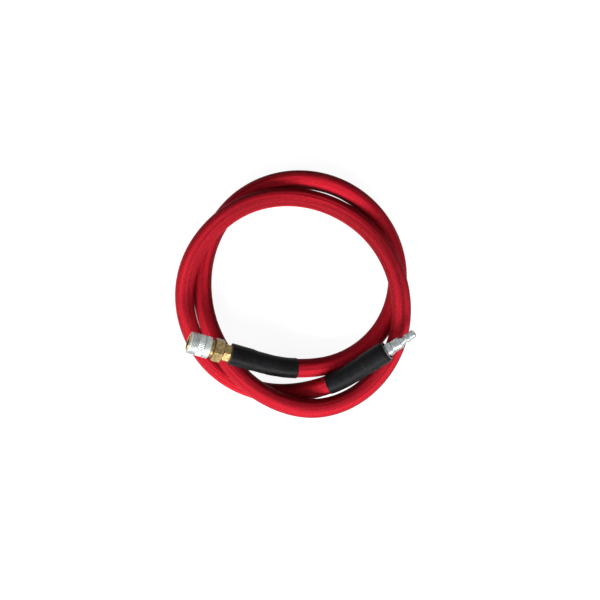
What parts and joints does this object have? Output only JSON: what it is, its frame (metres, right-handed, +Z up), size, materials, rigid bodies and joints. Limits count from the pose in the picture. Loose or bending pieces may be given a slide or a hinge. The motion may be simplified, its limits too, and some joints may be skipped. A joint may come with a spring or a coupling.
{
  "type": "air hose",
  "caption": "Loosely coiled rubber air hose with a quick coupler on one end, an industrial plug on the other, and black heat-shrink over both crimped ends.",
  "frame": {"origin": "on the surface the coil lies on, under the middle of the whole object's box", "axes": "+Z up out of the coil; -Y towards the side where both fittings cross the coil; the coupler's mouth looks to -X and slightly up"},
  "size_m": [0.2395, 0.2512, 0.063],
  "materials": {
    "red_rubber": "satin, fine woven print",
    "black_rubber": "matte",
    "white_textile": "matte, woven",
    "heat_shrink": "matte",
    "brass": "turned, satin",
    "zinc_steel": "zinc plated, turned",
    "spring_steel": "drawn wire",
    "ball_steel": "polished"
  },
  "bodies": {
    "hose_set": {"hose_liner": "black_rubber", "hose_braid": "white_textile", "hose_cover": "red_rubber", "hose_stem": "brass", "coupler_end_ferrule": "brass", "coupler_end_heat_shrink": "heat_shrink", "coupler_back": "brass", "body_gasket": "black_rubber", "coupler_socket": "brass", "plug_seal": "black_rubber", "valve_spring": "spring_steel", "sleeve_spring": "spring_steel", "sleeve_stop_ring": "brass", "plug_stem": "zinc_steel", "plug_end_ferrule": "brass", "plug_end_heat_shrink": "heat_shrink"},
    "sleeve": {"locking_sleeve": "zinc_steel"},
    "valve": {"valve_poppet": "brass", "valve_washer": "black_rubber"},
    "ball_1": {"locking_ball_1": "ball_steel"},
    "ball_2": {"locking_ball_2": "ball_steel"},
    "ball_3": {"locking_ball_3": "ball_steel"},
    "ball_4": {"locking_ball_4": "ball_steel"}
  },
  "joints": [
    {"name": "sleeve_slide", "type": "slide", "parent": "hose_set", "child": "sleeve", "axis": [0.9095, -0.2955, -0.2924], "range_m": [0, 0.0026], "stiffness_N_per_m": 2500, "springref_m": -0.004, "deforming": ["sleeve_spring"]},
    {"name": "valve_slide", "type": "slide", "parent": "hose_set", "child": "valve", "axis": [0.9095, -0.2955, -0.2924], "range_m": [0, 0.0035], "stiffness_N_per_m": 1200, "springref_m": -0.003, "deforming": ["valve_spring"]},
    {"name": "ball_1_slide", "type": "slide", "parent": "hose_set", "child": "ball_1", "axis": [-0.2781, 0.0903, -0.9563], "range_m": [0, 0.00104]},
    {"name": "ball_2_slide", "type": "slide", "parent": "hose_set", "child": "ball_2", "axis": [-0.309, -0.9511, 0], "range_m": [0, 0.00104]},
    {"name": "ball_3_slide", "type": "slide", "parent": "hose_set", "child": "ball_3", "axis": [0.2781, -0.0903, 0.9563], "range_m": [0, 0.00104]},
    {"name": "ball_4_slide", "type": "slide", "parent": "hose_set", "child": "ball_4", "axis": [0.309, 0.9511, 0], "range_m": [0, 0.00104]}
  ],
  "couplings": [
    {"joint": "ball_1_slide", "follows": "sleeve_slide", "ratio": 0.4},
    {"joint": "ball_2_slide", "follows": "sleeve_slide", "ratio": 0.4},
    {"joint": "ball_3_slide", "follows": "sleeve_slide", "ratio": 0.4},
    {"joint": "ball_4_slide", "follows": "sleeve_slide", "ratio": 0.4}
  ]
}
